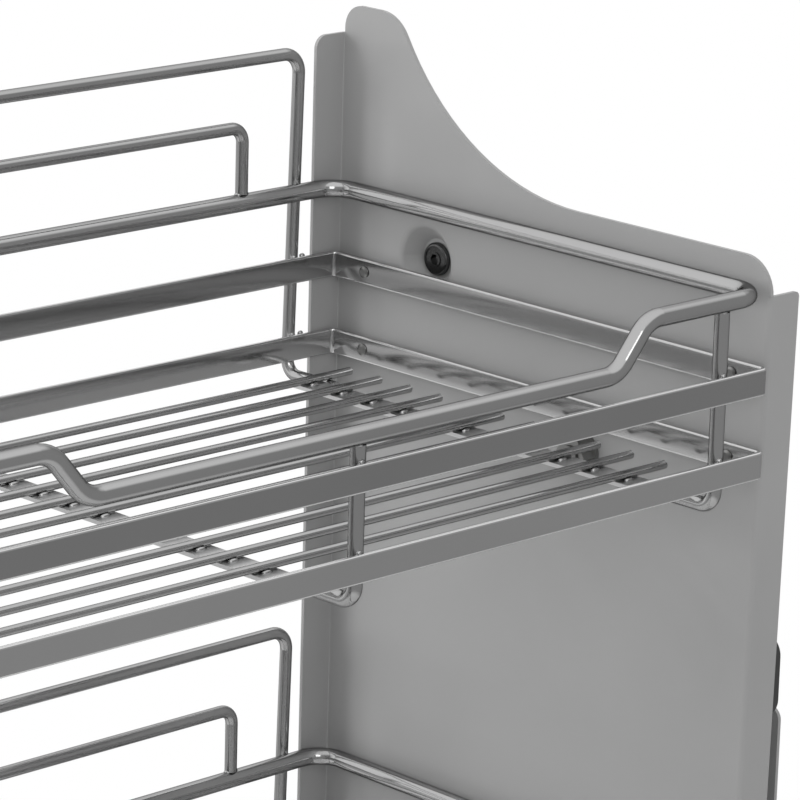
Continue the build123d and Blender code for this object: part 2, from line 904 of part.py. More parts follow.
def handle_caps():
    """Return the plugs that close the tube's ends."""
    with BuildPart() as caps:
        with BuildSketch(Plane.YZ.offset(tube_half + seat_gap)):
            with Locations((handle_y, handle_height)):
                Circle(handle_diameter / 2)
        extrude(amount=cap_height)
        chamfer(caps.edges().group_by(Axis.X)[-1], cap_height * 0.6)
        with BuildSketch(Plane.YZ.offset(tube_half + seat_gap)):
            with Locations((handle_y, handle_height)):
                Circle(handle_diameter / 2 - handle_wall - hole_clearance)
        extrude(amount=-cap_plug)
        mirror(about=Plane.YZ)
    return caps.part


def handle_grip():
    """Return the soft sleeve in the middle of the tube."""
    with BuildPart() as grip:
        with BuildSketch(Plane.YZ.offset(-grip_length / 2)):
            with Locations((handle_y, handle_height)):
                Circle(grip_diameter / 2)
                Circle(handle_diameter / 2 + hole_clearance, mode=Mode.SUBTRACT)
        extrude(amount=grip_length)
        rims = grip.edges().filter_by(GeomType.CIRCLE).filter_by(
            lambda edge: edge.radius > handle_diameter / 2 + hole_clearance + 0.01
        )
        chamfer(rims, (grip_diameter - handle_diameter) / 4)
    return grip.part


def handle_bracket():
    """Return the right bracket: a foot on the panel's flange and an ear for the tube."""
    foot = flange_face().offset(seat_gap)
    middle = flange_face().offset(seat_gap + bracket_sheet / 2).origin
    with BuildPart() as bracket:
        with BuildSketch(Plane.YZ.offset(bracket_inner)):
            with Locations((middle.Y, middle.Z)):
                Rectangle(bracket_sheet, bracket_height, rotation=front_flange_lean)
            with Locations((handle_y, handle_height)):
                Circle(ear_radius)
            make_hull()
            with Locations((handle_y, handle_height)):
                Circle(handle_diameter / 2 + hole_clearance, mode=Mode.SUBTRACT)
        extrude(amount=bracket_sheet)
        with BuildSketch(foot):
            with Locations((bracket_inner + bracket_width / 2, 0)):
                Rectangle(bracket_width, bracket_height)
            with Locations(*handle_screw_places()):
                Circle(handle_screw / 2 + hole_clearance, mode=Mode.SUBTRACT)
        extrude(amount=bracket_sheet)
        tips = bracket.edges().filter_by(Axis(foot.origin, foot.z_dir)).group_by(Axis.X)[-1]
        fillet(tips, bracket_sheet)
    return bracket.part


def handle_screws():
    """Return the screws through the brackets and the panels' flanges."""
    seat = flange_face().offset(bracket_sheet + 2 * seat_gap)
    length = sheet + handle_nut_height + 1 + bracket_sheet + 3 * seat_gap
    with BuildPart() as screws:
        with BuildSketch(seat):
            with Locations(*handle_screw_places()):
                Circle(handle_screw_head / 2)
        extrude(amount=handle_screw_head_height)
        chamfer(screws.edges().group_by(Axis(seat.origin, seat.z_dir))[-1], handle_screw_head_height / 3)
        with BuildSketch(seat):
            with Locations(*handle_screw_places()):
                Circle(handle_screw / 2)
        extrude(amount=-length)
        mirror(about=Plane.YZ)
    return screws.part


def handle_nuts():
    """Return the nuts behind the panels' flanges."""
    with BuildPart() as nuts:
        with BuildSketch(flange_face().offset(-sheet - seat_gap)):
            with Locations(*handle_screw_places()):
                RegularPolygon(hexagon(handle_nut_flats), 6)
                Circle(handle_screw / 2 + hole_clearance, mode=Mode.SUBTRACT)
        extrude(amount=-handle_nut_height)
        mirror(about=Plane.YZ)
    return nuts.part


# Write every piece

os.makedirs("parts", exist_ok=True)
for tier, height in (("lower", lower_basket_height), ("upper", upper_basket_height)):
    save(top_rail(height), f"{tier}_top_rail")
    save(flat_band(height + mid_band_rise), f"{tier}_mid_band")
    save(flat_band(height), f"{tier}_bottom_band")
    save(front_posts(height), f"{tier}_front_posts")
    save(rear_posts(height), f"{tier}_rear_posts")
    save(floor_wires(height), f"{tier}_floor_wires")
    save(cross_strips(height), f"{tier}_cross_strips")
    save(outer_guard(height), f"{tier}_outer_guard")
    save(inner_guard(height), f"{tier}_inner_guard")
save(basket_rivets(), "basket_rivets")
save(basket_spacers(), "basket_spacers")

panel_right = side_panel()
save(panel_right, "side_panel_right")
save(mirrored(panel_right), "side_panel_left")
save(rear_pivot_bolts(), "rear_pivot_bolts")
save(front_pivot_bolts(), "front_pivot_bolts")
save(rear_pivot_nuts(), "rear_pivot_nuts")
save(front_pivot_nuts(), "front_pivot_nuts")
save(pivot_washers(), "pivot_washers")
save(pivot_bushes(), "pivot_bushes")
save(stop_buffers(), "stop_buffers")

for name, top, base in (("front", front_top, front_base), ("rear", rear_top, rear_base)):
    arm_right = swing_arm(top, base)
    save(arm_right, f"{name}_arm_right")
    save(mirrored(arm_right), f"{name}_arm_left")

housing_right = wall_housing()
save(housing_right, "wall_housing_right")
save(mirrored(housing_right), "wall_housing_left")
cover_right = housing_cover()
save(cover_right, "housing_cover_right")
save(mirrored(cover_right), "housing_cover_left")
save(cover_screws(), "cover_screws")
save(base_pins(), "base_pins")
save(base_washers(), "base_washers")
save(base_sleeves(), "base_sleeves")
save(spring_drums(), "spring_drums")

save(handle_tube(), "handle_tube")
save(handle_caps(), "handle_caps")
save(handle_grip(), "handle_grip")
bracket_right = handle_bracket()
save(bracket_right, "handle_bracket_right")
save(mirrored(bracket_right), "handle_bracket_left")
save(handle_screws(), "handle_screws")
save(handle_nuts(), "handle_nuts")
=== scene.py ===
"""Pull-down shelf organizer for a wall cabinet, dressed for a studio view.

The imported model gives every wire, panel and fastener its place. This file adds the
finishes, the eased long edges of the flat bars, the weld nuggets where wires meet,
the camera, the lamps and the floor.
"""

from __future__ import annotations

import json
import logging
import math
from dataclasses import dataclass, field
from enum import Enum

import bpy
from mathutils import Matrix, Vector


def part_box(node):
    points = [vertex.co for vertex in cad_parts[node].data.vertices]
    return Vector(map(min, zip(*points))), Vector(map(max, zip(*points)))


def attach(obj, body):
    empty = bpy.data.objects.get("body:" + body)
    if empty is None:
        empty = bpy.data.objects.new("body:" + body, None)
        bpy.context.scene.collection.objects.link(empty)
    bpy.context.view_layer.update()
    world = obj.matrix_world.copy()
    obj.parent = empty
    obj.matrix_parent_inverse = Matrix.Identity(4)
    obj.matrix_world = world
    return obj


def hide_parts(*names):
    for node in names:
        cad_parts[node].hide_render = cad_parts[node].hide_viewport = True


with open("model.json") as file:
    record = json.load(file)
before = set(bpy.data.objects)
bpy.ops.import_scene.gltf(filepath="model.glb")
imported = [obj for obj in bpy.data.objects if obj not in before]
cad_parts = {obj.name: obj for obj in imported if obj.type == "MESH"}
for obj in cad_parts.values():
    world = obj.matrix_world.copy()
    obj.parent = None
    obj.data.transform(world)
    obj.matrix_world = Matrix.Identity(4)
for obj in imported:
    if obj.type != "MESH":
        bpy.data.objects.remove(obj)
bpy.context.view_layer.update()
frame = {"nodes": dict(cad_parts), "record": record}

log = logging.getLogger("shelf_organizer")

Triple = tuple[float, float, float]
Span = tuple[float, float]
Spot = tuple[Vector, Triple]
Tree = bpy.types.NodeTree
Plug = bpy.types.NodeSocket

# The slow drift of a finish's colour: scale and detail of its noise, and the part of
# the noise over which the colour goes from its low to its high end.
DRIFT_SCALE = 9.0
DRIFT_DETAIL = 3.0
DRIFT_SPAN = (0.3, 0.7)

# The handling marks in a finish's roughness: the same three, and the factors on the
# mean roughness at its low and high ends.
MARK_SCALE = 60.0
MARK_DETAIL = 5.0
MARK_SPAN = (0.25, 0.75)
MARK_FACTORS = (0.85, 1.15)

BUMP_STRENGTH = 0.6


class Grain(Enum):
    """How the small marks of a finish run: scale along X, Y and Z, and detail."""

    NONE = ((1, 1, 1), 0.0)
    CAST = ((1, 1, 1), 6.0)
    DRAWN = ((0.04, 1, 1), 6.0)
    ORANGE_PEEL = ((1, 1, 1), 2.0)
    ROLLED = ((1, 1, 0.03), 6.0)


def noise(tree: Tree, place: Plug, scale: float, detail: float) -> Plug:
    """Make a noise.

    Args:
        tree: the node tree.
        place: coordinates that it follows.
        scale: its scale.
        detail: its detail.

    Returns:
        The noise, mostly from 0.25 to 0.75.
    """
    node = tree.nodes.new("ShaderNodeTexNoise")
    node.inputs["Scale"].default_value = scale
    node.inputs["Detail"].default_value = detail
    tree.links.new(place, node.inputs["Vector"])
    return node.outputs["Fac"]


def combine(tree: Tree, operation: str, one: Plug, two: Plug) -> Plug:
    """Make one value of two.

    Args:
        tree: the node tree.
        operation: how, such as MAXIMUM or MULTIPLY.
        one: the first value.
        two: the second value.

    Returns:
        The result.
    """
    node = tree.nodes.new("ShaderNodeMath")
    node.operation = operation
    tree.links.new(one, node.inputs[0])
    tree.links.new(two, node.inputs[1])
    return node.outputs[0]


def ramp(tree: Tree, value: Plug, start: Span, end: Span) -> Plug:
    """Map a value from one span to another, held at both ends.

    Args:
        tree: the node tree.
        value: the value.
        start: the span that it comes from.
        end: the span that it goes to.

    Returns:
        The mapped value.
    """
    node = tree.nodes.new("ShaderNodeMapRange")
    node.inputs["From Min"].default_value, node.inputs["From Max"].default_value = start
    node.inputs["To Min"].default_value, node.inputs["To Max"].default_value = end
    tree.links.new(value, node.inputs["Value"])
    return node.outputs["Result"]


def choose(tree: Tree, pick: Plug, off: Plug | float, on: Plug | float) -> Plug:
    """Choose between two values.

    Args:
        tree: the node tree.
        pick: 0 or 1.
        off: the value where the pick is 0.
        on: the value where the pick is 1.

    Returns:
        The chosen value.
    """
    node = tree.nodes.new("ShaderNodeMapRange")
    tree.links.new(pick, node.inputs["Value"])
    for name, value in (("To Min", off), ("To Max", on)):
        if isinstance(value, float):
            node.inputs[name].default_value = value
        else:
            tree.links.new(value, node.inputs[name])
    return node.outputs["Result"]


def grey(level: float) -> Triple:
    """Make a neutral colour.

    Args:
        level: its brightness, linear.

    Returns:
        The colour.
    """
    return (level, level, level)


@dataclass(frozen=True)
class Finish:
    """One surface finish, as a procedural material.

    Attributes:
        name: name of the finish.
        colour: base colour, linear.
        metallic: 1 for bare or plated metal, 0 for paint, rubber and plastic.
        roughness: mean roughness.
        grain: how the small marks run.
        grain_size: scale of the small marks.
        bump: height of the marks, in metres.
        mottle: how far the colour drifts over the surface.
        edge: tint of the reflection near the outline, for metals.
    """

    name: str
    colour: Triple
    metallic: float
    roughness: float
    grain: Grain = Grain.NONE
    grain_size: float = 400.0
    bump: float = 0.00002
    mottle: float = 0.04
    edge: float = 1.0

    def material(self) -> bpy.types.Material:
        """Build the material.

        Returns:
            The new material, or the one that this finish has already made.
        """
        found = bpy.data.materials.get(f"finish_{self.name}")
        if found:
            return found
        mat = bpy.data.materials.new(f"finish_{self.name}")
        mat.use_nodes = True
        tree = mat.node_tree
        shader = tree.nodes["Principled BSDF"]
        shader.inputs["Metallic"].default_value = self.metallic
        shader.inputs["Specular Tint"].default_value = (*grey(self.edge), 1)
        place = tree.nodes.new("ShaderNodeTexCoord").outputs["Object"]
        tree.links.new(self._colour(tree, place), shader.inputs["Base Color"])
        tree.links.new(self._roughness(tree, place), shader.inputs["Roughness"])
        if self.grain is not Grain.NONE:
            tree.links.new(self._grain(tree, place), shader.inputs["Normal"])
        return mat

    def _colour(self, tree: Tree, place: Plug) -> Plug:
        """Let the colour drift slowly over the surface.

        Args:
            tree: node tree of the material.
            place: coordinates on the piece.

        Returns:
            The base colour.
        """
        drift = tree.nodes.new("ShaderNodeValToRGB")
        factors = (1 - self.mottle, 1 + self.mottle)
        for stop, position, factor in zip(drift.color_ramp.elements, DRIFT_SPAN, factors):
            stop.position = position
            stop.color = (*(min(1.0, part * factor) for part in self.colour), 1)
        tree.links.new(noise(tree, place, DRIFT_SCALE, DRIFT_DETAIL), drift.inputs["Fac"])
        return drift.outputs["Color"]

    def _roughness(self, tree: Tree, place: Plug) -> Plug:
        """Let fine handling marks change the roughness.

        Args:
            tree: node tree of the material.
            place: coordinates on the piece.

        Returns:
            The roughness.
        """
        low, high = (min(1.0, self.roughness * factor) for factor in MARK_FACTORS)
        marks = noise(tree, place, MARK_SCALE, MARK_DETAIL)
        return ramp(tree, marks, MARK_SPAN, (low, high))

    def _grain(self, tree: Tree, place: Plug) -> Plug:
        """Raise the small marks of the finish.

        Args:
            tree: node tree of the material.
            place: coordinates on the piece.

        Returns:
            The surface normal.
        """
        scales, detail = self.grain.value
        stretch = tree.nodes.new("ShaderNodeMapping")
        stretch.inputs["Scale"].default_value = scales
        tree.links.new(place, stretch.inputs["Vector"])
        height = noise(tree, stretch.outputs["Vector"], self.grain_size, detail)
        bump = tree.nodes.new("ShaderNodeBump")
        bump.inputs["Strength"].default_value = BUMP_STRENGTH
        bump.inputs["Distance"].default_value = self.bump
        tree.links.new(height, bump.inputs["Height"])
        return bump.outputs["Normal"]


@dataclass
class Finishes:
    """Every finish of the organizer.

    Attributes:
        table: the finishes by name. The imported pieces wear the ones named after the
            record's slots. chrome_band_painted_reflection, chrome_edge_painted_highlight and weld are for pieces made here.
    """

    table: dict[str, Finish] = field(
        default_factory=lambda: {
            finish.name: finish
            for finish in (
                Finish("chrome_wire", grey(0.48), 1.0, 0.14, Grain.CAST, 300, 0.00001, edge=0.3),
                # The bar chrome sits darker than the wire chrome: painted shade for the darker
                # reflections of the flat bars.
                Finish("chrome_bar", grey(0.4), 1.0, 0.18, Grain.DRAWN, 500, 0.000003, edge=0.8),
                # The bottom bands' chrome is a lighter copy of the bar chrome: painted reflection.
                Finish("chrome_band_painted_reflection", grey(0.55), 1.0, 0.16, Grain.DRAWN, 500, 0.000003, edge=0.8),
                # The eased edges' chrome is lighter still than the bands: painted highlight lines
                # along the bars' edges.
                Finish("chrome_edge_painted_highlight", grey(0.68), 1.0, 0.12),
                # The strips' chrome is lighter than the wire chrome: painted reflection of the
                # bright room. Its higher roughness is a real satin finish.
                Finish("chrome_strip", grey(0.78), 1.0, 0.3),
                Finish("weld", grey(0.5), 1.0, 0.2, Grain.CAST, 900, edge=0.5),
                Finish("zinc", (0.3, 0.3, 0.295), 1.0, 0.3, Grain.CAST, 900, edge=0.5),
                Finish("grey_plastic", grey(0.3), 0.0, 0.45, Grain.CAST, 1500),
                Finish("grey_paint", grey(0.37), 0.0, 0.42, Grain.ROLLED, 900, 0.00001),
                Finish("arm_paint", grey(0.22), 0.0, 0.45, Grain.ORANGE_PEEL, 700),
                Finish("black_oxide", grey(0.13), 1.0, 0.22, Grain.CAST, 1200, edge=0.6),
                Finish("buffer_rubber", grey(0.05), 0.0, 0.7, Grain.CAST, 1500),
                Finish("black_plastic", grey(0.04), 0.0, 0.4, Grain.CAST, 1500),
                Finish("grip_rubber", grey(0.05), 0.0, 0.65, Grain.CAST, 1200),
            )
        }
    )

    def dress_frame(self) -> None:
        """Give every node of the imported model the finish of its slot."""
        for piece in frame["record"]["subparts"]:
            finish = self.table[piece["material_slot"]]
            node = frame["nodes"][piece["node"]]
            node.data.materials.clear()
            node.data.materials.append(finish.material())
            log.info("%s wears %s", piece["node"], finish.name)


def deselect() -> None:
    """Leave edit mode and deselect everything."""
    if bpy.context.object and bpy.context.object.mode != "OBJECT":
        bpy.ops.object.mode_set(mode="OBJECT")
    bpy.ops.object.select_all(action="DESELECT")


def copy_to(piece: bpy.types.Object, name: str, place: Matrix) -> bpy.types.Object:
    """Copy a piece with a mesh of its own.

    Args:
        piece: the piece to copy.
        name: name of the copy.
        place: how the copy's mesh is turned and moved from the piece's.

    Returns:
        The copy, whose object sits at the origin.
    """
    copy = piece.copy()
    copy.data = piece.data.copy()
    copy.name = name
    copy.data.transform(place)
    bpy.context.scene.collection.objects.link(copy)
    return copy


def put_on(piece: bpy.types.Object, body: str) -> None:
    """Attach a piece to the body that carries it.

    Args:
        piece: the piece.
        body: the record's body.
    """
    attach(piece, body)
    log.info("%s: %d faces", piece.name, len(piece.data.polygons))


@dataclass
class BandRings:
    """The flat-bar rings of both baskets, with the eased edges of drawn bar.

    Attributes:
        wall: thickness of the bar, in metres.
        corner: outer radius at the ring's corners.
        corner_steps: faces round one corner.
        edge: radius of the bar's long edges.
        edge_steps: faces across one long edge.
        eased: angle past which an edge is eased, in degrees.
        smooth: angle up to which faces are shaded as one, in degrees.
        nodes: the rings' nodes.
    """

    wall: float = 0.002
    corner: float = 0.0036
    corner_steps: int = 8
    edge: float = 0.00085
    edge_steps: int = 4
    eased: float = 60.0
    smooth: float = 40.0
    nodes: tuple[str, ...] = (
        "upper_mid_band",
        "upper_bottom_band",
        "lower_mid_band",
        "lower_bottom_band",
    )

    def ring(self, low: Vector, high: Vector, finishes: list[Finish]) -> bpy.types.Object:
        """Model one ring in its node's box.

        Args:
            low: lowest corner of the box.
            high: highest corner of the box.
            finishes: finish of the faces, then of the eased edges, whose lighter chrome paints
                highlight lines on them.

        Returns:
            The ring.
        """
        deselect()
        middle = ((low[0] + high[0]) / 2, (low[1] + high[1]) / 2, low[2])
        width, depth, height = (high[axis] - low[axis] for axis in range(3))
        bpy.ops.mesh.primitive_plane_add(size=1, location=middle)
        ring = bpy.context.object
        bpy.ops.object.mode_set(mode="EDIT")
        bpy.ops.mesh.select_all(action="SELECT")
        bpy.ops.transform.resize(value=(width, depth, 1))
        bpy.ops.mesh.bevel(
            offset=self.corner,
            offset_type="OFFSET",
            segments=self.corner_steps,
            affect="VERTICES",
        )
        bpy.ops.mesh.select_all(action="SELECT")
        bpy.ops.mesh.inset(thickness=self.wall, use_boundary=True, use_even_offset=True)
        bpy.ops.mesh.delete(type="FACE")
        bpy.ops.mesh.select_all(action="SELECT")
        bpy.ops.mesh.extrude_region_move(TRANSFORM_OT_translate={"value": (0, 0, height)})
        bpy.ops.mesh.select_all(action="SELECT")
        bpy.ops.mesh.normals_make_consistent(inside=False)
        bpy.ops.object.mode_set(mode="OBJECT")
        for finish in finishes:
            ring.data.materials.append(finish.material())
        rim = ring.modifiers.new("rim", "BEVEL")
        rim.width = self.edge
        rim.segments = self.edge_steps
        rim.limit_method = "ANGLE"
        rim.angle_limit = math.radians(self.eased)
        # The eased edges get the last finish, a lighter chrome: painted highlight lines along the
        # bars' edges.
        rim.material = len(finishes) - 1
        rim.harden_normals = True
        bpy.ops.object.modifier_apply(modifier=rim.name)
        bpy.ops.object.transform_apply(location=True, rotation=True, scale=True)
        bpy.ops.object.shade_smooth_by_angle(angle=math.radians(self.smooth))
        return ring

    def build(self, mid: Finish, bottom: Finish, rim_highlights: Finish) -> None:
        """Model the first ring and copy it to the others.

        Args:
            mid: finish of the mid bands, the bar chrome, set darker: painted shade.
                bottom: finish of the bottom bands, a lighter copy of it: painted reflection.
            rim_highlights: finish of the eased edges, a lighter chrome that paints highlight
                lines.
        """
        first_low, first_high = (Vector(v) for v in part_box(self.nodes[0]))
        first = self.ring(first_low, first_high, [mid, rim_highlights])
        first.name = f"{self.nodes[0]}_ring"
        rings = [first]
        for node in self.nodes[1:]:
            offset = Vector(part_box(node)[0]) - first_low
            rings.append(copy_to(first, f"{node}_ring", Matrix.Translation(offset)))
        for ring, node in zip(rings, self.nodes):
            # The bottom bands swap in the lighter chrome copy: painted reflection.
            if "bottom" in node:
                ring.data.materials[0] = bottom.material()
            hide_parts(node)
            put_on(ring, "carrier")


@dataclass(frozen=True)
class Nugget:
    """One weld nugget: a flattened drop with an uneven skin.

    Attributes:
        radius: its radius, in metres.
        segments: faces around it.
        rings: rings of faces from top to bottom.
        cut: depth under its middle at which it is cut flat.
        stray: how far its skin strays.
        evenness: how alike the strays are in length, from 0 to 1.
        seed: seed of the straying.
    """

    radius: float = 0.001
    segments: int = 8
    rings: int = 5
    cut: float = 0.0006
    stray: float = 0.00012
    evenness: float = 0.6
    seed: int = 7

    def model(self) -> bpy.types.Object:
        """Model the nugget.

        Returns:
            The nugget, around the origin.
        """
        deselect()
        bpy.ops.mesh.primitive_uv_sphere_add(
            segments=self.segments,
            ring_count=self.rings,
            radius=self.radius,
            location=(0, 0, 0),
        )
        drop = bpy.context.object
        bpy.ops.object.mode_set(mode="EDIT")
        bpy.ops.mesh.select_all(action="SELECT")
        bpy.ops.mesh.bisect(
            plane_co=(0, 0, -self.cut),
            plane_no=(0, 0, -1),
            use_fill=True,
            clear_outer=True,
        )
        bpy.ops.mesh.select_all(action="SELECT")
        bpy.ops.transform.vertex_random(offset=self.stray, uniform=self.evenness, seed=self.seed)
        bpy.ops.mesh.normals_make_consistent(inside=False)
        bpy.ops.object.mode_set(mode="OBJECT")
        bpy.ops.object.shade_smooth()
        return drop


@dataclass
class BasketWelds:
    """The weld nuggets of one basket, on its floor, posts and guards.

    Attributes:
        tier: "upper" or "lower".
        wall: thickness of the bands, in metres.
        wire: radius of the floor's wires.
        wires: number of the floor's wires.
        pitch: distance between them.
        first: distance of the first one from the rear band.
        gap: gap that each weld fills.
        strips: X of the strips under the wires.
        posts: X of the front posts.
        dipped: X of the front posts under the lowered rail.
        dip: how far the rail is lowered there.
        legs: X of the rear posts.
        leg: radius of a rear post and of a guard.
        guard: X of the outer guard's legs at the mid band.
        inner: X of the inner guard's legs.
        rail: radius of the top rail.
        rail_rise: height of the rail's middle over the bottom band's lower edge.
        beside: distance of a nugget's middle from the floor wire's side.
        inwards: distance of a post's nugget from its axis, towards the middle.
        proud: distance of a nugget's middle from the face of a bar.
        under_rail: the same under the rail, from the inner face of the front bar.
        on_strip: radii of the nuggets on the strips, in millimetres.
        on_bar: radii of those on the bars' upper edges.
        on_rail: radii of those under the rail.
        on_guard: radii of those at the inner guard.
        bar_share: distance of a leg's nugget from its axis, as a share of its radius.
        guard_share: the same at the inner guard.
        turn: turn of each nugget from the one before, in radians.
    """

    tier: str
    wall: float = 0.002
    wire: float = 0.0016
    wires: int = 12
    pitch: float = 0.017
    first: float = 0.020
    gap: float = 0.00015
    strips: tuple[float, ...] = (-0.3475, -0.1681, 0.0, 0.1681, 0.3475)
    posts: tuple[float, ...] = (-0.357, -0.1776, 0.0, 0.1776, 0.357)
    dipped: float = 0.1776
    dip: float = 0.0178
    legs: tuple[float, ...] = (-0.1795, 0.1795)
    leg: float = 0.0025
    guard: float = 0.3594
    inner: float = 0.3252
    rail: float = 0.0035
    rail_rise: float = 0.0691
    beside: float = 0.0002
    inwards: float = 0.0009
    proud: float = 0.0003
    under_rail: float = 0.0012
    on_strip: Triple = (2.6, 1.0, 0.9)
    on_bar: Triple = (1.3, 1.0, 1.0)
    on_rail: Triple = (1.2, 1.2, 1.0)
    on_guard: Triple = (1.2, 1.6, 0.9)
    bar_share: float = 0.85
    guard_share: float = 0.8
    turn: float = 1.3

    def _floor(self, level: float, rear: float) -> list[Spot]:
        """Place the nuggets beside the floor's wires, on the strips.

        Args:
            level: lower edge of the bottom band.
            rear: inner face of the rear bar.

        Returns:
            Their middles and radii.
        """
        spots = []
        z = level - 2 * self.gap - 2 * self.wire
        for x in self.strips:
            for row in range(self.wires):
                y = rear - self.first - row * self.pitch
                for side in (-1, 1):
                    beside = y + side * (self.wire + self.beside)
                    spots.append((Vector((x, beside, z)), self.on_strip))
        return spots

    def _front(self, level: float, front: float, tops: Span) -> list[Spot]:
        """Place the nuggets of the front posts, on the bars and under the rail.

        Args:
            level: lower edge of the bottom band.
            front: inner face of the front bar.
            tops: upper edges of the bottom band and the mid band.

        Returns:
            Their middles and radii.
        """
        spots = []
        for x in self.posts:
            dip = self.dip if abs(x) == self.dipped else 0
            in_x = x - math.copysign(self.inwards, x or 1)
            for z in tops:
                spots.append((Vector((in_x, front + self.proud, z)), self.on_bar))
            under = level + self.rail_rise - dip - self.rail
            spots.append((Vector((in_x, front + self.under_rail, under)), self.on_rail))
        return spots

    def _rear(self, level: float, rear: float, back: float, tops: Span) -> list[Spot]:
        """Place the nuggets of the rear posts and of both guards.

        Args:
            level: lower edge of the bottom band.
            rear: inner face of the rear bar.
            back: outer face of the rear bar.
            tops: upper edges of the bottom band and the mid band.

        Returns:
            Their middles and radii.
        """
        spots = []
        guards = (-self.guard, self.guard)
        for xs, y in ((self.legs, rear - self.proud), (guards, back + self.proud)):
            for x in xs:
                for side in (-1, 1):
                    beside = x + side * self.leg * self.bar_share
                    for z in tops:
                        spots.append((Vector((beside, y, z)), self.on_bar))
        over = level + self.rail_rise + self.rail
        for x in (-self.inner, self.inner):
            for side in (-1, 1):
                beside = x + side * self.leg * self.guard_share
                spots.append((Vector((beside, back - self.rail, over)), self.on_guard))
        return spots

    def places(self) -> list[Spot]:
        """Work out where the nuggets lie.

        Returns:
            The middle of each nugget and its three radii, in millimetres.
        """
        low, high = (Vector(v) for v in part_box(f"{self.tier}_bottom_band"))
        tops = (high[2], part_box(f"{self.tier}_mid_band")[1][2])
        rear = high[1] - self.wall
        front = low[1] + self.wall
        floor = self._floor(low[2], rear)
        return floor + self._front(low[2], front, tops) + self._rear(low[2], rear, high[1], tops)

    def build(self, finish: Finish) -> None:
        """Copy the nugget to its places and join the copies.

        Args:
            finish: finish of the welds.
        """
        name = f"{self.tier}_basket_welds"
        drop = Nugget().model()
        drop.data.materials.append(finish.material())
        copies = []
        for number, (place, radii) in enumerate(self.places()):
            copy = copy_to(drop, name, Matrix.Rotation(number * self.turn, 4, "Z"))
            copy.data.transform(Matrix.Translation(place) @ Matrix.Diagonal((*radii, 1)))
            copies.append(copy)
        bpy.data.objects.remove(drop)
        deselect()
        for copy in copies:
            copy.select_set(True)
        bpy.context.view_layer.objects.active = copies[0]
        bpy.ops.object.join()
        welds = bpy.context.object
        put_on(welds, "carrier")


@dataclass(frozen=True)
class Camera:
    """The camera at the photographed angle.

    Attributes:
        eye: its position, in metres.
        yaw: its heading from +Y towards -X, in degrees.
        pitch: its tilt above the level, in degrees.
        roll: its turn about the line of sight, in degrees.
        focal: its focal length, in millimetres.
        sensor: width of its sensor, in millimetres.
        clip: the nearest and farthest distance that it sees, in metres.
    """

    eye: Triple = (-0.80966, -1.12713, 0.82210)
    yaw: float = -44.2836
    pitch: float = -15.2506
    roll: float = 1.641
    focal: float = 200.402
    sensor: float = 36.0
    clip: Span = (0.01, 100.0)

    def set_up(self) -> None:
        """Put the camera in the scene."""
        yaw, pitch, roll = (math.radians(a) for a in (self.yaw, self.pitch, self.roll))
        level = math.cos(pitch)
        ahead = Vector((-math.sin(yaw) * level, math.cos(yaw) * level, math.sin(pitch)))
        right = Vector((math.cos(yaw), math.sin(yaw), 0))
        up = right.cross(ahead)
        side = math.cos(roll) * right + math.sin(roll) * up
        top = -math.sin(roll) * right + math.cos(roll) * up
        turn = Matrix((side, top, -ahead)).transposed().to_4x4()
        data = bpy.data.cameras.new("camera")
        data.sensor_width = self.sensor
        data.lens = self.focal
        data.clip_start, data.clip_end = self.clip
        cam = bpy.data.objects.new("camera", data)
        cam.matrix_world = Matrix.Translation(Vector(self.eye)) @ turn
        bpy.context.scene.collection.objects.link(cam)
        bpy.context.scene.camera = cam


@dataclass(frozen=True)
class Lamp:
    """One soft lamp, which the camera doesn't see.

    Attributes:
        name: its name.
        place: its position, in metres.
        aim: the point that it faces.
        size: its width and height, in metres.
        power: its power, in watts.
        mirrored: whether metal shows it.
    """

    name: str
    place: Triple
    aim: Triple
    size: Span
    power: float
    mirrored: bool = True

    def hang(self) -> None:
        """Put the lamp in the scene."""
        data = bpy.data.lights.new(self.name, "AREA")
        data.shape = "RECTANGLE"
        data.size, data.size_y = self.size
        data.energy = self.power
        lamp = bpy.data.objects.new(self.name, data)
        lamp.location = self.place
        lamp.visible_camera = False
        lamp.visible_glossy = self.mirrored
        sight = Vector(self.aim) - Vector(self.place)
        lamp.rotation_euler = sight.to_track_quat("-Z", "Y").to_euler()
        bpy.context.scene.collection.objects.link(lamp)


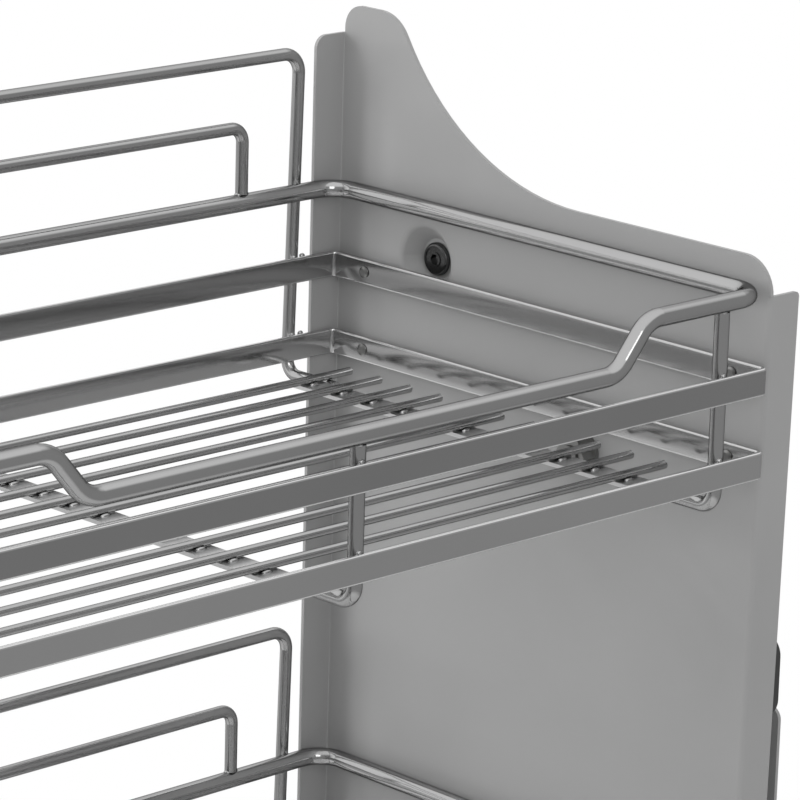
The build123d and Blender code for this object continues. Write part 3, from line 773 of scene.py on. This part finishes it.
@dataclass(frozen=True)
class Room:
    """The world and the floor.

    The camera and glass see white. Metal mirrors white above and behind the unit and a
    dimmer room in front of it. Matt surfaces get a plain soft light.

    Attributes:
        soft: strength of the world's light on matt surfaces.
        dim: brightness of the room's dim part in metal.
        above: upward part of a direction over which metal's world turns white.
        behind: the same for the rearward part.
        floor_level: height of the floor, under the carrier at the end of its swing.
        floor_side: length of the floor's sides, in metres.
        paper: base brightness of the floor, linear.
        paper_roughness: roughness of the floor.
        near: radius under the unit in which the floor is plain paper.
        fade: distances over which the paper turns white, as multiples of near.
        floor_bright: brightness of the floor's brightest part in metal.
        rear: Y over which the floor turns bright in metal.
        right: X over which it does.
        left_share: share of that brightness that is left at the left.
    """

    soft: float = 0.6
    dim: float = 0.36
    above: Span = (0.5, 0.7)
    behind: Span = (0.15, 0.5)
    floor_level: float = -0.27
    floor_side: float = 8.0
    paper: float = 0.8
    paper_roughness: float = 0.9
    near: float = 0.75
    fade: Span = (1.0, 1.6)
    floor_bright: float = 0.95
    rear: Span = (1.0, 1.65)
    right: Span = (-1.1, -0.3)
    left_share: float = 0.3

    def world(self) -> None:
        """Set up the world, as each kind of ray sees it."""
        world = bpy.data.worlds.new("studio")
        bpy.context.scene.world = world
        world.use_nodes = True
        tree = world.node_tree
        back = tree.nodes["Background"]
        back.inputs["Color"].default_value = (*grey(1), 1)
        rays = tree.nodes.new("ShaderNodeLightPath").outputs
        seen = combine(tree, "MAXIMUM", rays["Is Camera Ray"], rays["Is Transmission Ray"])
        sky = tree.nodes.new("ShaderNodeTexCoord")
        split = tree.nodes.new("ShaderNodeSeparateXYZ")
        tree.links.new(sky.outputs["Generated"], split.inputs["Vector"])
        above = ramp(tree, split.outputs["Z"], self.above, (0, 1))
        behind = ramp(tree, split.outputs["Y"], self.behind, (0, 1))
        bright = combine(tree, "MAXIMUM", above, behind)
        mirrored = ramp(tree, bright, (0, 1), (self.dim, 1))
        matt_or_metal = choose(tree, rays["Is Glossy Ray"], self.soft, mirrored)
        strength = choose(tree, seen, matt_or_metal, 1.0)
        tree.links.new(strength, back.inputs["Strength"])

    def _far(self, tree: Tree, place: Plug) -> Plug:
        """Tell the paper under the unit from the white far floor.

        Args:
            tree: node tree of the floor.
            place: coordinates on the floor.

        Returns:
            0 under the unit and 1 far from it.
        """
        shrink = tree.nodes.new("ShaderNodeMapping")
        shrink.inputs["Scale"].default_value = (1 / self.near, 1 / self.near, 0)
        reach = tree.nodes.new("ShaderNodeVectorMath")
        reach.operation = "LENGTH"
        tree.links.new(place, shrink.inputs["Vector"])
        tree.links.new(shrink.outputs["Vector"], reach.inputs[0])
        return ramp(tree, reach.outputs["Value"], self.fade, (0, 1))

    def _mirrored(self, tree: Tree, place: Plug) -> Plug:
        """Make the far floor's brightness in metal.

        Args:
            tree: node tree of the floor.
            place: coordinates on the floor.

        Returns:
            The brightness, which is highest at the rear right.
        """
        split = tree.nodes.new("ShaderNodeSeparateXYZ")
        tree.links.new(place, split.inputs["Vector"])
        rear = ramp(tree, split.outputs["Y"], self.rear, (0, 1))
        right = ramp(tree, split.outputs["X"], self.right, (self.left_share, 1))
        corner = combine(tree, "MULTIPLY", rear, right)
        return ramp(tree, corner, (0, 1), (self.dim, self.floor_bright))

    def paper_material(self) -> bpy.types.Material:
        """Build the floor's material.

        Returns:
            Pale paper, which turns into the white of the room far from the unit.
        """
        mat = bpy.data.materials.new("floor_paper")
        mat.use_nodes = True
        tree = mat.node_tree
        shader = tree.nodes["Principled BSDF"]
        shader.inputs["Base Color"].default_value = (*grey(self.paper), 1)
        shader.inputs["Roughness"].default_value = self.paper_roughness
        rays = tree.nodes.new("ShaderNodeLightPath").outputs
        seen = combine(tree, "MAXIMUM", rays["Is Camera Ray"], rays["Is Transmission Ray"])
        far_rays = combine(tree, "MAXIMUM", seen, rays["Is Glossy Ray"])
        place = tree.nodes.new("ShaderNodeTexCoord").outputs["Object"]
        far = combine(tree, "MULTIPLY", far_rays, self._far(tree, place))
        glow = tree.nodes.new("ShaderNodeEmission")
        strength = choose(tree, seen, self._mirrored(tree, place), 1.0)
        tree.links.new(strength, glow.inputs["Strength"])
        mix = tree.nodes.new("ShaderNodeMixShader")
        tree.links.new(far, mix.inputs["Fac"])
        tree.links.new(shader.outputs["BSDF"], mix.inputs[1])
        tree.links.new(glow.outputs["Emission"], mix.inputs[2])
        tree.links.new(mix.outputs["Shader"], tree.nodes["Material Output"].inputs["Surface"])
        return mat

    def floor(self) -> None:
        """Lay the floor that the unit hangs over."""
        deselect()
        place = (0, 0, self.floor_level)
        bpy.ops.mesh.primitive_plane_add(size=self.floor_side, location=place)
        slab = bpy.context.object
        slab.name = "floor"
        slab.data.materials.append(self.paper_material())


@dataclass
class Studio:
    """Camera, room and lamps.

    Attributes:
        camera: the camera.
        room: the world and the floor.
        lamps: the lamps.
    """

    camera: Camera = Camera()
    room: Room = Room()
    lamps: tuple[Lamp, ...] = (
        Lamp("key", (-1.3, 1.35, 0.85), (0.3, 0, 0.2), (0.9, 1.2), 17, mirrored=False),
        Lamp("front", (-0.9, -2.3, 1.6), (0.1, 0, 0.4), (1.4, 1.4), 14),
        Lamp("top", (-0.2, 0.2, 2.2), (0, 0, 0.4), (1.4, 0.8), 10, mirrored=False),
    )

    def build(self) -> None:
        """Set up the whole studio."""
        self.camera.set_up()
        self.room.world()
        self.room.floor()
        for lamp in self.lamps:
            lamp.hang()
        bpy.context.scene.view_settings.view_transform = "Standard"


def main() -> None:
    """Build the classes in order."""
    logging.basicConfig(level=logging.INFO, format="%(message)s")
    finishes = Finishes()
    finishes.dress_frame()
    table = finishes.table
    # The mid bands wear the darker bar chrome and the bottom bands its lighter copy, painted shade
    # and painted reflection; the eased edges wear painted highlight lines.
    BandRings().build(table["chrome_bar"], table["chrome_band_painted_reflection"], table["chrome_edge_painted_highlight"])
    for tier in ("upper", "lower"):
        BasketWelds(tier).build(table["weld"])
    Studio().build()


if __name__ == "__main__":
    main()
